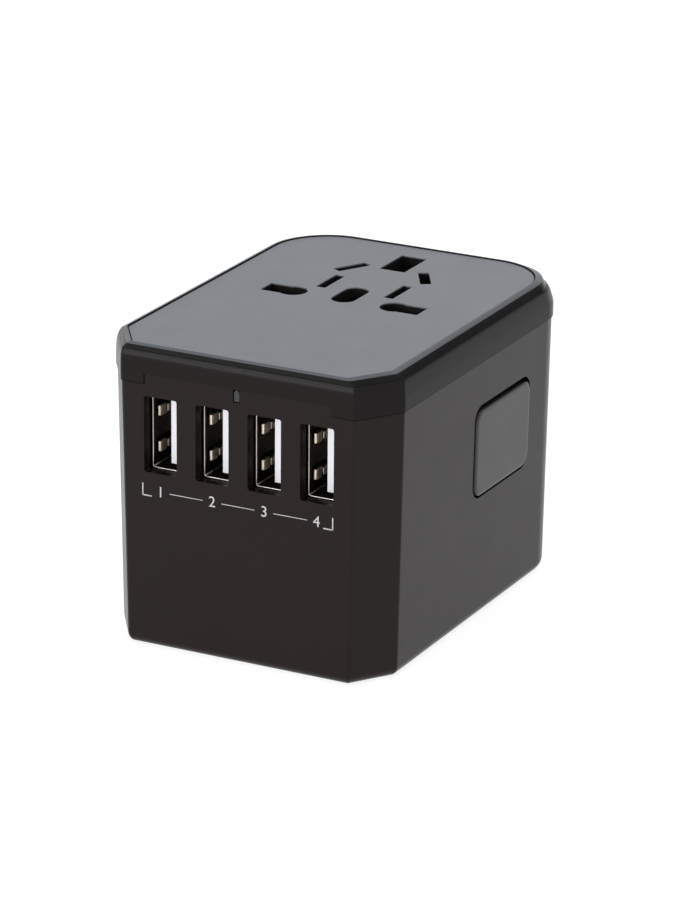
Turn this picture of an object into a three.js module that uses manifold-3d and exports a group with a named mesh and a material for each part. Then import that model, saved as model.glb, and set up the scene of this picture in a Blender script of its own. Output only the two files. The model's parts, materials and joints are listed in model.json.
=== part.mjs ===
// Universal travel adapter: a socket cube with three sets of retractable plug pins and four USB ports.
// Frame: millimetres, +Z up through the socket face, -Y out of the USB face, +X out of the side with
// the release button. The origin is the middle of the plug face, on which the adapter stands.

import * as THREE from 'three';
import { mergeVertices } from 'three/addons/utils/BufferGeometryUtils.js';
import Module from 'manifold-3d';

const wasm = await Module();
wasm.setup();

// ---------------------------------------------------------------- driving dimensions

const GAP = 0.3;                 // clearance between neighbouring pieces
const SEAM_GAP = 0.2;            // parting line between housing and cover
const WALL = 2;                  // wall of the housing and the cover
const ARC_STEPS = 4;             // curve segments of an outline's round corners
const ROUND_SIDES = 24;          // sides of a round pin or hole

const BODY = {
  halfWidth: 26.25,
  halfDepth: 35,
  frontFlat: 21.16,              // half width of the flat USB face between its cut corners
  cutDepth: 7.45,                // how far back the cut corners run
  backRadius: 9,
  draft: 0.018,                  // sideways draft, per unit of height below the seam
  seamZ: 45.5,
  footRadius: 1.8,
};
const FRONT = -BODY.halfDepth;

const TAB = { halfWidth: 17, top: 47.3 };                       // raised tab of the housing's front wall
const RIM = { inset: 4, ledge: 1, ledgeLow: 2.7, ledgeTop: 4.2 };  // seat of the plug face
const PLATE_TOP = 2.4;

const COVER = {
  proud: 0.2,
  bevelLow: 50.5,
  top: 52.4,
  topHalfWidth: 25,
  topFront: -34.9,
  topBack: 34.4,
  deckLow: 49.5,
  deckTop: 50.9,
};
const PANEL = { low: 51.2, halfWidth: 24, front: -34.35, back: 33.5, gap: 0.2 };

const SOCKET = {
  y: 2.1,                        // line and neutral holes for British and European plugs
  outerX: 14.6,
  roundX: 9.45,
  height: 4.15,
  roundRadius: 2.45,
  american: { x: 6.35, y: 9.7, width: 1.7, length: 7.5 },
  australian: { x: 6.86, y: 18.6, width: 1.85, length: 6.4, angle: Math.PI / 6 },
  earth: { y: 24.3, width: 4.7, length: 8.7 },
  centre: { y: 4.5, width: 4.2, length: 8.7 },
};

const USB = {
  centreX: 0.2,
  pitch: 9.53,
  z: 37.05,
  holeWidth: 6.05,
  holeHeight: 13,
  shellWidth: 5.72,
  shellHeight: 13.1,
  shellWall: 0.3,
  shellFront: -32.7,
  shellBack: -19.1,
  tongueWidth: 1.85,
  tongueHeight: 11.1,
  tongueFront: -31.9,
};

const BUTTON = {
  y: 9.75,
  z: 29.6,
  length: 20.7,
  height: 15.2,
  radius: 2.3,
  holeMargin: 0.5,
  holeUpperMargin: 0.9,
  face: 26.5,                    // before the draft is applied
  flangeX: [23, 23.8],
  flangeMargin: 1.2,
};

// Each plug's pins, how far its carriage travels, how far its pins then stand out, and its carriage.
const UK = {
  x: 11.1,
  y: 2.7,
  earthY: 24.93,
  travel: 23.2,
  reach: 17.7,
  earthReach: 22.7,
  low: 26.1,
  thickness: 4.4,
  rearThickness: 3.4,
};
const EU = { x: 9.5, y: 10.2, travel: 19.5, reach: 19, low: 22.4, thickness: 4.4 };
const US = { x: 6.35, y: 17.1, travel: 16.4, reach: 15.9, low: 20.4, thickness: 4.2 };
const CARRIAGE = { left: -20.2, right: 15.2, armLeft: 15.6, armRight: 18.4 };
const NECK = { halfX: 1.5, halfY: 1 };                          // shank of a British pin in its carriage
const KNOB = { rise: 3.3, stemHalf: 1.4, padHalfY: 3.2, padHalfZ: 3, pocketX: -24.9, proudX: -26.2 };
const KNOB_POCKET = { margin: 1.1, z: [2.4, 33.4], slotWidth: 3.5, slotLow: 4.7, slotRise: 1.5 };

const POWER_PIN = { width: 6.35, length: 4, ease: 0.7 };
const EARTH_PIN = { width: 4, length: 8, ease: 0.7 };
const EU_PIN = { radius: 2.4, neck: 1.5 };
const BLADE = { width: 1.5, length: 6.35, shank: 1.8, rivet: 2.4 };

const DECK = { low: 31, top: 32.6 };
const DIVIDER_Y = [-8.2, -6.8];
const POSTS = [[16.3, UK.y], [12, 25.6], [13.2, EU.y], [13.2, US.y]];
const POST_RADIUS = 1.2;
const SCREWS = [[-17, -28], [17, -28], [-18, 27.6], [18, 27.6]];
const SCREW = {
  shank: 0.8,
  head: 1.6,
  headTop: 1.2,
  low: 0.3,
  tip: 9,
  bossRadius: 1.9,
  bossTop: 10.5,
  ribWidth: 1.6,
};

// ---------------------------------------------------------------- shape helpers

function block([x0, x1], [y0, y1], [z0, z1]) {
  const box = new THREE.BoxGeometry(x1 - x0, y1 - y0, z1 - z0);
  return box.translate((x0 + x1) / 2, (y0 + y1) / 2, (z0 + z1) / 2);
}

function around(centre, size) {
  return [centre - size / 2, centre + size / 2];
}

// The same range on the other side of the YZ plane when side is -1.
function onSide(side, low, high) {
  return side > 0 ? [low, high] : [-high, -low];
}

function rod(radius, x, y, [z0, z1], sides = ROUND_SIDES) {
  const cylinder = new THREE.CylinderGeometry(radius, radius, z1 - z0, sides);
  return cylinder.rotateX(Math.PI / 2).translate(x, y, (z0 + z1) / 2);
}

function prism(shape, z0, z1, bevel = null) {
  const rise = bevel ? bevel.up : 0;
  const options = { depth: z1 - z0 - 2 * rise, curveSegments: ARC_STEPS, bevelEnabled: false };
  if (bevel) {
    options.bevelEnabled = true;
    options.bevelThickness = bevel.up;
    options.bevelSize = bevel.inward;
    options.bevelOffset = -bevel.inward;
    options.bevelSegments = bevel.steps;
  }
  return new THREE.ExtrudeGeometry(shape, options).translate(0, 0, z0 + rise);
}

// A solid of revolution about +Z, from [radius, height] points that start and end on the axis.
function turned(profile, sides = ROUND_SIDES) {
  const points = profile.map(([radius, height]) => new THREE.Vector2(radius, height));
  return new THREE.LatheGeometry(points, sides).rotateX(Math.PI / 2);
}

// Lays a geometry drawn in XY and extruded along Z into YZ, extruded along X.
function facingX(geometry) {
  const axes = [new THREE.Vector3(0, 1, 0), new THREE.Vector3(0, 0, 1), new THREE.Vector3(1, 0, 0)];
  return geometry.applyMatrix4(new THREE.Matrix4().makeBasis(...axes));
}

function rounded(width, height, radius) {
  const shape = new THREE.Shape();
  const x = width / 2 - radius;
  const y = height / 2 - radius;
  shape.absarc(x, -y, radius, -Math.PI / 2, 0);
  shape.absarc(x, y, radius, 0, Math.PI / 2);
  shape.absarc(-x, y, radius, Math.PI / 2, Math.PI);
  shape.absarc(-x, -y, radius, Math.PI, 1.5 * Math.PI);
  return shape;
}

function rectangle(width, height) {
  const shape = new THREE.Shape();
  shape.moveTo(-width / 2, -height / 2);
  shape.lineTo(width / 2, -height / 2);
  shape.lineTo(width / 2, height / 2);
  shape.lineTo(-width / 2, height / 2);
  return shape;
}

function solidFrom(geometry) {
  const bare = geometry.clone();
  bare.deleteAttribute('normal');
  bare.deleteAttribute('uv');
  const merged = mergeVertices(bare, 1e-5);
  const corners = merged.index.array;
  const kept = [];
  for (let i = 0; i < corners.length; i += 3) {
    const [a, b, c] = corners.slice(i, i + 3);
    if (a !== b && b !== c && c !== a) kept.push(a, b, c);
  }
  const vertProperties = new Float32Array(merged.attributes.position.array);
  return new wasm.Manifold(new wasm.Mesh({ numProp: 3, vertProperties, triVerts: new Uint32Array(kept) }));
}

function combine(operation, first, others) {
  let result = solidFrom(first);
  for (const other of others) {
    result = result[operation](solidFrom(other));
  }
  const mesh = result.getMesh();
  const geometry = new THREE.BufferGeometry();
  geometry.setAttribute('position', new THREE.BufferAttribute(mesh.vertProperties, 3));
  geometry.setIndex(new THREE.BufferAttribute(mesh.triVerts, 1));
  return geometry;
}

const join = (first, ...others) => combine('add', first, others);
const cut = (first, ...others) => combine('subtract', first, others);
const common = (first, ...others) => combine('intersect', first, others);

// ---------------------------------------------------------------- the body's outline

// A corner between two straight edges with outward normals a and b, moved inwards by inset.
function mitred([x, y], a, b, inset) {
  const scale = inset / (1 + a[0] * b[0] + a[1] * b[1]);
  return [x - scale * (a[0] + b[0]), y - scale * (a[1] + b[1])];
}

function bodyOutline(inset) {
  const cutWidth = BODY.halfWidth - BODY.frontFlat;
  const slant = Math.hypot(cutWidth, BODY.cutDepth);
  const cutNormal = [BODY.cutDepth / slant, -cutWidth / slant];
  const front = mitred([BODY.frontFlat, FRONT], [0, -1], cutNormal, inset);
  const side = mitred([BODY.halfWidth, FRONT + BODY.cutDepth], cutNormal, [1, 0], inset);
  const radius = BODY.backRadius - inset;
  const arcX = BODY.halfWidth - BODY.backRadius;
  const arcY = BODY.halfDepth - BODY.backRadius;
  const shape = new THREE.Shape();
  shape.moveTo(-front[0], front[1]);
  shape.lineTo(front[0], front[1]);
  shape.lineTo(side[0], side[1]);
  shape.absarc(arcX, arcY, radius, 0, Math.PI / 2);
  shape.absarc(-arcX, arcY, radius, Math.PI / 2, Math.PI);
  shape.lineTo(-side[0], side[1]);
  return shape;
}

// Narrows a geometry towards the plug face, as the mould's draft does.
function drafted(geometry) {
  const position = geometry.attributes.position;
  const slope = BODY.draft / BODY.halfWidth;
  for (let i = 0; i < position.count; i += 1) {
    const scale = 1 - slope * (BODY.seamZ - position.getZ(i));
    position.setX(i, position.getX(i) * scale);
  }
  return geometry;
}

// Stretches a geometry to another half width, front and back, above a given height only.
function fitted(geometry, { halfWidth, front, back }, above = -Infinity) {
  geometry.computeBoundingBox();
  const { min, max } = geometry.boundingBox;
  const position = geometry.attributes.position;
  for (let i = 0; i < position.count; i += 1) {
    if (position.getZ(i) > above) {
      position.setX(i, position.getX(i) * halfWidth / max.x);
      position.setY(i, THREE.MathUtils.mapLinear(position.getY(i), min.y, max.y, front, back));
    }
  }
  return geometry;
}

// ---------------------------------------------------------------- socket holes

function turnedBlock(x, y, width, length, z, angle) {
  const bar = block(around(0, width), around(0, length), z);
  return bar.rotateZ(angle).translate(x, y, 0);
}

function socketHoles(z) {
  const { american, australian, earth, centre } = SOCKET;
  const holes = [block(around(0, earth.width), around(earth.y, earth.length), z)];
  for (const side of [-1, 1]) {
    holes.push(block(onSide(side, SOCKET.roundX, SOCKET.outerX), around(SOCKET.y, SOCKET.height), z));
    holes.push(rod(SOCKET.roundRadius, side * SOCKET.roundX, SOCKET.y, z));
    holes.push(block(around(side * american.x, american.width), around(american.y, american.length), z));
    const { x, y, width, length, angle } = australian;
    holes.push(turnedBlock(side * x, y, width, length, z, side * angle));
    const endY = centre.y + side * (centre.length - centre.width) / 2;
    holes.push(rod(centre.width / 2, 0, endY, z));
  }
  holes.push(block(around(0, centre.width), around(centre.y, centre.length - centre.width), z));
  return holes;
}

// ---------------------------------------------------------------- housing, cover, panel and plug face

const usbCentres = [-1.5, -0.5, 0.5, 1.5].map((step) => USB.centreX + step * USB.pitch);
const knobPlaces = [UK, EU, US].map(({ y, low }) => ({ y, z: low + KNOB.rise }));
const LIGHT = { x: -0.11, width: 1, low: 45.2, top: 47.1, gap: 0.15 };

function mainHousing() {
  const foot = { up: BODY.footRadius, inward: BODY.footRadius, steps: 3 };
  const wide = [-BODY.halfWidth - 1, BODY.halfWidth + 1];
  const deep = [FRONT - 1, -FRONT + 1];
  const belowSeam = block(wide, deep, [-1, BODY.seamZ]);
  const tab = block(around(0, 2 * TAB.halfWidth), [FRONT - 1, FRONT + WALL], [BODY.seamZ - 1, TAB.top]);
  const outer = common(prism(bodyOutline(0), 0, COVER.top, foot), join(belowSeam, tab));
  const cavity = prism(bodyOutline(WALL), RIM.ledgeTop, COVER.top);
  const seat = prism(bodyOutline(RIM.inset), -1, RIM.ledgeLow);
  const ledgeHole = prism(bodyOutline(RIM.inset + RIM.ledge), RIM.ledgeLow - 1, RIM.ledgeTop + 1);
  const shell = drafted(cut(outer, cavity, seat, ledgeHole));
  return cut(join(shell, ...screwBosses()), ...housingHoles());
}

function screwBosses() {
  return SCREWS.flatMap(([x, y]) => {
    const wallY = Math.sign(y) * (BODY.halfDepth - WALL + 0.2);
    const height = [RIM.ledgeLow, SCREW.bossTop];
    const boss = rod(SCREW.bossRadius, x, y, height, 16);
    const rib = block(around(x, SCREW.ribWidth), [Math.min(y, wallY), Math.max(y, wallY)], height);
    return [boss, rib];
  });
}

function housingHoles() {
  const usb = usbCentres.map((x) => (
    block(around(x, USB.holeWidth), [FRONT - 1, FRONT + WALL + 1], around(USB.z, USB.holeHeight))
  ));
  const marginSum = BUTTON.holeMargin + BUTTON.holeUpperMargin;
  const hole = rounded(BUTTON.length + 2 * BUTTON.holeMargin, BUTTON.height + marginSum, BUTTON.radius);
  const holeZ = BUTTON.z + (BUTTON.holeUpperMargin - BUTTON.holeMargin) / 2;
  const button = facingX(prism(hole, 20, 30)).translate(0, BUTTON.y, holeZ);
  const { margin, slotWidth, slotLow, slotRise } = KNOB_POCKET;
  const pocketY = [UK.y - KNOB.padHalfY - margin, US.y + KNOB.padHalfY + margin];
  const pocket = block([-30, KNOB.pocketX], pocketY, KNOB_POCKET.z);
  const slots = knobPlaces.map(({ y, z }) => (
    block([-30, -22], around(y, slotWidth), [slotLow, z + slotRise])
  ));
  const pilots = SCREWS.map(([x, y]) => rod(SCREW.shank + GAP, x, y, [0, SCREW.bossTop + 1], 16));
  const lightX = around(LIGHT.x, LIGHT.width + 2 * LIGHT.gap);
  const light = block(lightX, [FRONT - 1, FRONT + WALL + 1], [LIGHT.low - LIGHT.gap, TAB.top + 1]);
  return [...usb, button, pocket, ...slots, ...pilots, light];
}

function topCover() {
  const { proud, bevelLow, top, topHalfWidth, topFront, topBack, deckLow, deckTop } = COVER;
  const low = BODY.seamZ + SEAM_GAP;
  const edge = { halfWidth: topHalfWidth, front: topFront, back: topBack };
  const crown = fitted(prism(bodyOutline(-proud), bevelLow, top), edge, top - 0.1);
  const band = prism(bodyOutline(-proud), low, bevelLow);
  const cavity = prism(bodyOutline(WALL), low - 1, deckLow);
  const shell = cut(join(crown, band), cavity);
  const pocketSize = {
    halfWidth: PANEL.halfWidth + PANEL.gap,
    front: PANEL.front - PANEL.gap,
    back: PANEL.back + PANEL.gap,
  };
  const pocket = fitted(prism(bodyOutline(0), deckTop, top + 1), pocketSize);
  const notchX = around(0, 2 * (TAB.halfWidth + SEAM_GAP));
  const notch = block(notchX, [FRONT - 1, FRONT + WALL + 3], [low - 4, TAB.top + SEAM_GAP]);
  const lip = cut(
    prism(bodyOutline(WALL + 0.4), low - 1.7, low + 1),
    prism(bodyOutline(WALL + 1.6), low - 3, low + 2),
  );
  const lipJoin = cut(
    prism(bodyOutline(WALL - 0.4), low + 0.3, low + 1.3),
    prism(bodyOutline(WALL + 1.6), low, low + 2),
  );
  const body = join(shell, lip, lipJoin, ...shutterGuides());
  return cut(body, pocket, notch, ...socketHoles([deckLow - 1, top]));
}

const SHUTTER = { halfWidth: 16, front: -4.5, back: 19.8, low: 47.5, top: 49.1 };
const GUIDE = { wall: [16.3, 17.3], shelf: [15.2, 16.5], y: [-12, 24], low: 46.2, shelfTop: 47.2 };
const SEAT = { y: [-16.6, -15.4], halfWidth: 3, low: 46 };       // spring seat under the deck

function shutterGuides() {
  const into = COVER.deckLow + 0.2;
  const guides = [-1, 1].flatMap((side) => [
    block(onSide(side, ...GUIDE.wall), GUIDE.y, [GUIDE.low, into]),
    block(onSide(side, ...GUIDE.shelf), GUIDE.y, [GUIDE.low, GUIDE.shelfTop]),
  ]);
  return [...guides, block(around(0, 2 * SEAT.halfWidth), SEAT.y, [SEAT.low, into])];
}

function socketPanel() {
  const blank = fitted(prism(bodyOutline(0), PANEL.low, COVER.top), PANEL);
  return cut(blank, ...socketHoles([PANEL.low - 1, COVER.top + 1]));
}

const PIN_MARGIN = 0.35;          // clearance all round a pin in the plug face

function basePlate() {
  const through = [-1, PLATE_TOP + 1];
  const blank = drafted(prism(bodyOutline(RIM.inset + GAP), 0, PLATE_TOP));
  const hole = (size, x, y) => (
    block(around(x, size.width + 2 * PIN_MARGIN), around(y, size.length + 2 * PIN_MARGIN), through)
  );
  const holes = [hole(EARTH_PIN, 0, UK.earthY)];
  for (const side of [-1, 1]) {
    holes.push(hole(POWER_PIN, side * UK.x, UK.y));
    holes.push(rod(EU_PIN.radius + PIN_MARGIN, side * EU.x, EU.y, through));
    for (const turn of [0, 10, 20, 30]) {
      const angle = side * THREE.MathUtils.degToRad(turn);
      const { width, length } = BLADE;
      const slot = [width + 2 * PIN_MARGIN, length + 2 * PIN_MARGIN];
      holes.push(turnedBlock(side * US.x, US.y, ...slot, through, angle));
    }
  }
  for (const [x, y] of SCREWS) {
    holes.push(rod(SCREW.shank + GAP, x, y, through, 16));
    holes.push(rod(SCREW.head + GAP, x, y, [-1, SCREW.headTop + GAP], 16));
  }
  return cut(blank, ...holes);
}

function baseScrew() {
  const head = rod(SCREW.head, 0, 0, [SCREW.low, SCREW.headTop], 16);
  const shank = rod(SCREW.shank, 0, 0, [SCREW.headTop - 0.2, SCREW.tip], 12);
  const slotA = block(around(0, 2), around(0, 0.5), [0, 0.8]);
  const slotB = block(around(0, 0.5), around(0, 2), [0, 0.8]);
  return cut(join(head, shank), slotA, slotB);
}

// ---------------------------------------------------------------- plug carriages and pins

function withPostHole(carriage, post) {
  return cut(carriage, rod(POST_RADIUS + GAP, ...POSTS[post], [0, 40]));
}

function neckHole(x, y) {
  return block(around(x, 2 * (NECK.halfX + GAP)), around(y, 2 * (NECK.halfY + GAP)), [0, 40]);
}

function ukCarriage() {
  const z = [UK.low, UK.low + UK.thickness];
  const rearZ = [UK.low, UK.low + UK.rearThickness];
  const bar = block([CARRIAGE.left, CARRIAGE.armRight], [-1.6, 6.6], z);
  const arm = block([CARRIAGE.armLeft, CARRIAGE.armRight], [6, 25.2], rearZ);
  const rear = block([-6, CARRIAGE.armLeft + 0.2], [20.6, 29.6], rearZ);
  const holes = [neckHole(-UK.x, UK.y), neckHole(UK.x, UK.y), neckHole(0, UK.earthY)];
  return withPostHole(withPostHole(cut(join(bar, arm, rear), ...holes), 0), 1);
}

function euCarriage() {
  const bar = block([CARRIAGE.left, CARRIAGE.right], [6.9, 13.5], [EU.low, EU.low + EU.thickness]);
  const holes = [-1, 1].map((side) => rod(EU_PIN.neck + GAP, side * EU.x, EU.y, [0, 40], 16));
  return withPostHole(cut(bar, ...holes), 2);
}

function usCarriage() {
  const bar = block([CARRIAGE.left, CARRIAGE.right], [14.5, 19.7], [US.low, US.low + US.thickness]);
  const holes = [-1, 1].map((side) => rod(BLADE.shank + GAP, side * US.x, US.y, [0, 40]));
  return withPostHole(cut(bar, ...holes), 3);
}

function flatPin({ width, length, ease }, tip, neckTop) {
  const bevel = { up: 1.2 * ease, inward: ease, steps: 2 };
  const body = prism(rectangle(width, length), tip, UK.low - GAP, bevel);
  const shank = block(around(0, 2 * NECK.halfX), around(0, 2 * NECK.halfY), [UK.low - 2, neckTop]);
  return join(body, shank);
}

function ukPowerPin() {
  return flatPin(POWER_PIN, UK.travel - UK.reach, UK.low + UK.thickness - 0.4);
}

function ukEarthPin() {
  return flatPin(EARTH_PIN, UK.travel - UK.earthReach, UK.low + UK.rearThickness - 0.3);
}

function euPin() {
  const { radius, neck } = EU_PIN;
  const tip = EU.travel - EU.reach;
  const shoulder = EU.low - GAP;
  const top = EU.low + EU.thickness - 0.4;
  const profile = [[0, tip], [radius / 2, tip + 0.15], [radius - 0.4, tip + 0.75], [radius, tip + 1.8]];
  profile.push([radius, shoulder], [neck, shoulder], [neck, top], [0, top]);
  return turned(profile);
}

// A blade with the rivet on which it swivels in its carriage.
function usBlade() {
  const tip = US.travel - US.reach;
  const { width, length, shank, rivet } = BLADE;
  const top = US.low - GAP;
  const headLow = US.low + US.thickness + GAP;
  const body = prism(rectangle(width, length), tip, top, { up: 0.7, inward: 0.4, steps: 1 });
  const foot = rod(rivet, 0, 0, [top - 0.9, top], 16);
  const pivot = rod(shank, 0, 0, [top - 0.5, headLow + 0.2], 16);
  const head = rod(rivet, 0, 0, [headLow, headLow + 0.8], 16);
  return join(body, foot, pivot, head);
}

function sliderKnob() {
  const stem = block([-25.4, CARRIAGE.left - GAP], around(0, 2 * KNOB.stemHalf), around(0, 2.4));
  const padX = [KNOB.proudX, KNOB.pocketX - GAP];
  const pad = block(padX, around(0, 2 * KNOB.padHalfY), around(0, 2 * KNOB.padHalfZ));
  const ridges = [-1.6, 0, 1.6].map((z) => block(around(KNOB.proudX, 0.4), around(0, 5), around(z, 0.6)));
  return join(stem, pad, ...ridges);
}

function guidePost() {
  return rod(POST_RADIUS, 0, 0, [PLATE_TOP + GAP, DECK.low - GAP], 16);
}

// ---------------------------------------------------------------- inner frame and socket contacts

function innerFrame() {
  const outline = drafted(prism(bodyOutline(WALL + 0.6), RIM.ledgeTop + GAP, 43));
  const divider = block([-30, 30], DIVIDER_Y, [0, 50]);
  const deck = block([-30, 20.2], [DIVIDER_Y[1] - 1, 40], [DECK.low, DECK.top]);
  const body = common(outline, join(divider, deck));
  const springTab = block(BUTTON_SPRING.seatX, around(BUTTON.y, 8.5), [DECK.top - 0.5, 40]);
  const earthHole = block(around(0, 5.2), around(SOCKET.earth.y, 9.2), [30, 34]);
  return cut(join(body, springTab), earthHole);
}

const CONTACT = { low: 32.9, baseTop: 33.5, top: 44.5, leaf: 0.5 };

// Folded brass strip under the British, European, American and Australian holes of one pole.
function poleContact(side) {
  const rise = [CONTACT.low, CONTACT.top];
  const leafPair = (centre, halfGap) => [
    [centre - halfGap - CONTACT.leaf, centre - halfGap],
    [centre + halfGap, centre + halfGap + CONTACT.leaf],
  ];
  const base = block(onSide(side, 5, 14.4), [-0.95, 5.15], [CONTACT.low, CONTACT.baseTop]);
  const rail = block(onSide(side, 4.75, 9.4), [5, 21.5], [CONTACT.low, CONTACT.baseTop]);
  const squareLeaves = leafPair(SOCKET.y, 2.55).map((y) => block(onSide(side, 7.2, 14.4), y, rise));
  const flatLeaves = leafPair(SOCKET.american.x, 1.1).map(([low, high]) => (
    block(onSide(side, low, high), [6.4, 13.2], rise)
  ));
  const { x, y, angle } = SOCKET.australian;
  const slantLeaves = leafPair(0, 1.2).map(([low, high]) => (
    block([low, high], around(0, 5), rise).rotateZ(side * angle).translate(side * x, y, 0)
  ));
  return join(base, rail, ...squareLeaves, ...flatLeaves, ...slantLeaves);
}

function earthContact() {
  const top = 45;
  const ring = cut(
    block(around(0, 6.5), [19.3, 29.5], [CONTACT.low, top]),
    block(around(0, 5.5), [19.8, 29], [0, 50]),
  );
  const clip = cut(
    block(around(0, 5.7), [0.4, 9.6], [CONTACT.low, CONTACT.top]),
    block(around(0, 4.7), [-1, 9.1], [0, 50]),
  );
  const strap = block(around(0, 2.4), [9.3, 19.6], [CONTACT.low, CONTACT.baseTop]);
  return join(ring, clip, strap);
}

// ---------------------------------------------------------------- shutter, button and springs

function safetyShutter() {
  const { halfWidth, front, back, low, top } = SHUTTER;
  const through = [low - 1, top + 1];
  const plate = block(around(0, 2 * halfWidth), [front, back], [low, top]);
  const windows = [block(around(0, 4.7), [-0.2, 14.8], through)];
  for (const side of [-1, 1]) {
    windows.push(block(onSide(side, 6.9, 15), [4.95, 10.4], through));
    windows.push(block(onSide(side, 5.3, 7.4), [11.2, 19.4], through));
    windows.push(rampCutter(side));
  }
  return cut(plate, ...windows);
}

// The wedge of air over the ramp that a pin pushes on, deepest at the ramp's rear edge.
function rampCutter(side) {
  const profile = new THREE.Shape();
  profile.moveTo(-0.6, SHUTTER.top);
  profile.lineTo(5, SHUTTER.top - 1.1);
  profile.lineTo(5, SHUTTER.top + 1);
  profile.lineTo(-0.6, SHUTTER.top + 1);
  const [low, high] = onSide(side, 7, 14.9);
  return facingX(prism(profile, low, high));
}

class Helix extends THREE.Curve {
  constructor(radius, length, turns) {
    super();
    Object.assign(this, { radius, length, turns });
  }

  getPoint(t) {
    const angle = 2 * Math.PI * this.turns * t;
    return new THREE.Vector3(this.radius * Math.cos(angle), this.radius * Math.sin(angle), this.length * t);
  }
}

// A compression spring along +Z whose wire lies between z = 0 and the stated length.
function coilSpring(radius, wire, length, turns) {
  const section = new THREE.Shape();
  section.absarc(0, 0, wire / 2, 0, 2 * Math.PI);
  const path = new Helix(radius, length - wire, turns);
  const options = { steps: turns * 14, curveSegments: 3, bevelEnabled: false, extrudePath: path };
  return new THREE.ExtrudeGeometry(section, options).translate(0, 0, wire / 2);
}

function shutterSpring() {
  const [start, end] = [SEAT.y[1] + GAP, SHUTTER.front - GAP];
  const coil = coilSpring(1.25, 0.35, end - start, 6);
  return coil.rotateX(-Math.PI / 2).translate(0, start, 47.8);
}

const BUTTON_SPRING = { seatX: [16.3, 17.3], end: 22.4, radius: 1.9, wire: 0.45, z: 36 };

function buttonSpring() {
  const { seatX, end, radius, wire, z } = BUTTON_SPRING;
  const start = seatX[1] + GAP;
  const coil = coilSpring(radius, wire, end - start, 5);
  return facingX(coil).translate(start, BUTTON.y, z);
}

function releaseButton() {
  const { y, z, length, height, radius, face, flangeX, flangeMargin } = BUTTON;
  const ease = { up: 0.35, inward: 0.35, steps: 1 };
  const cap = facingX(prism(rounded(length, height, radius), flangeX[0] + 0.4, face, ease));
  const flangeShape = rounded(length + 2 * flangeMargin, height + 2 * flangeMargin, radius);
  const flange = facingX(prism(flangeShape, ...flangeX));
  return drafted(join(cap, flange).translate(0, y, z));
}

const LATCH = { x: [21.2, 22.4], y: [-0.5, 20], z: [22.5, 30], toothX: [20.4, 21.4], toothZ: [24, 26.4] };

function latchBar() {
  const teeth = [UK, EU, US].map(({ y }) => block(LATCH.toothX, around(y, 3), LATCH.toothZ));
  return join(block(LATCH.x, LATCH.y, LATCH.z), ...teeth);
}

// ---------------------------------------------------------------- USB sockets and electronics

function usbShell() {
  const { shellWidth, shellHeight, shellWall, shellFront, shellBack } = USB;
  const outer = block(around(0, shellWidth), [shellFront, shellBack], around(USB.z, shellHeight));
  const innerWidth = shellWidth - 2 * shellWall;
  const innerHeight = shellHeight - 2 * shellWall;
  const insideY = [shellFront - 1, shellBack - shellWall];
  return cut(outer, block(around(0, innerWidth), insideY, around(USB.z, innerHeight)));
}

function usbTongue() {
  const back = USB.shellBack - USB.shellWall - GAP;
  const x = [0.2, 0.2 + USB.tongueWidth];
  const tongue = block(x, [USB.tongueFront, back], around(USB.z, USB.tongueHeight));
  const root = block([-2.2, 2.2], [back - 2, back], around(USB.z, 11.8));
  return join(tongue, root);
}

const USB_BOARD = { width: 39, y: [-18.7, -17.1], z: [28.5, 44.9] };
const POWER_BOARD = { width: 37, y: [-25.2, -9.5], z: [5, 6.6] };
const BOARD_TOP = POWER_BOARD.z[1] + GAP;

function circuitBoard({ width, y, z }) {
  return block(around(0, width), y, z);
}

function transformer() {
  const z = (low, high) => [BOARD_TOP + low, BOARD_TOP + high];
  const bobbin = block(around(0, 15), around(0, 13.5), z(0, 2.2));
  const core = block(around(0, 14), around(0, 8), z(2, 15));
  const winding = block(around(0, 8.4), around(0, 13), z(4, 13));
  return join(bobbin, core, winding);
}

function capacitor(radius, height) {
  const low = BOARD_TOP;
  const top = low + height;
  const profile = [[0, low], [radius - 0.5, low], [radius, low + 0.5], [radius, low + 1.4]];
  profile.push([radius - 0.45, low + 1.9], [radius, low + 2.4], [radius, top - 0.5], [radius - 0.5, top]);
  profile.push([radius - 1.2, top], [radius - 1.2, top - 0.3], [0, top - 0.3]);
  return turned(profile);
}

function fuse() {
  const profile = [[0, 0], [2.2, 0], [2.2, 3], [1.9, 3], [1.9, 9], [2.2, 9], [2.2, 12], [0, 12]];
  return facingX(turned(profile, 16));
}

function lightPipe() {
  const x = around(LIGHT.x, LIGHT.width);
  return block(x, [FRONT + 0.05, -20], [LIGHT.low, LIGHT.top]);
}

function statusLed() {
  return block(around(LIGHT.x, 1.6), [-19.8, -19], [43, 44.6]);
}

// ---------------------------------------------------------------- assembly

const DARK_PLASTIC = { color: '#3a3738', roughness: 0.5, metalness: 0 };
const PANEL_PLASTIC = { color: '#85888d', roughness: 0.6, metalness: 0 };
const BUTTON_PLASTIC = { color: '#5f5c60', roughness: 0.45, metalness: 0 };
const INNER_PLASTIC = { color: '#26242a', roughness: 0.6, metalness: 0 };
const WHITE_PLASTIC = { color: '#efedf6', roughness: 0.5, metalness: 0 };
const SHUTTER_PLASTIC = { color: '#17120f', roughness: 0.5, metalness: 0 };
const STEEL = { color: '#b0a8a0', roughness: 0.35, metalness: 1 };
const BRASS = { color: '#c3a35a', roughness: 0.35, metalness: 1 };
const NICKEL = { color: '#c4c4c6', roughness: 0.25, metalness: 1 };
const BOARD_GREEN = { color: '#1f5a3a', roughness: 0.6, metalness: 0 };
const FERRITE = { color: '#35343a', roughness: 0.7, metalness: 0 };
const SLEEVE = { color: '#20304a', roughness: 0.4, metalness: 0 };
const CERAMIC = { color: '#d8d2c4', roughness: 0.5, metalness: 0 };
const CLEAR = { color: '#c8d2d8', roughness: 0.1, metalness: 0 };

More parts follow.
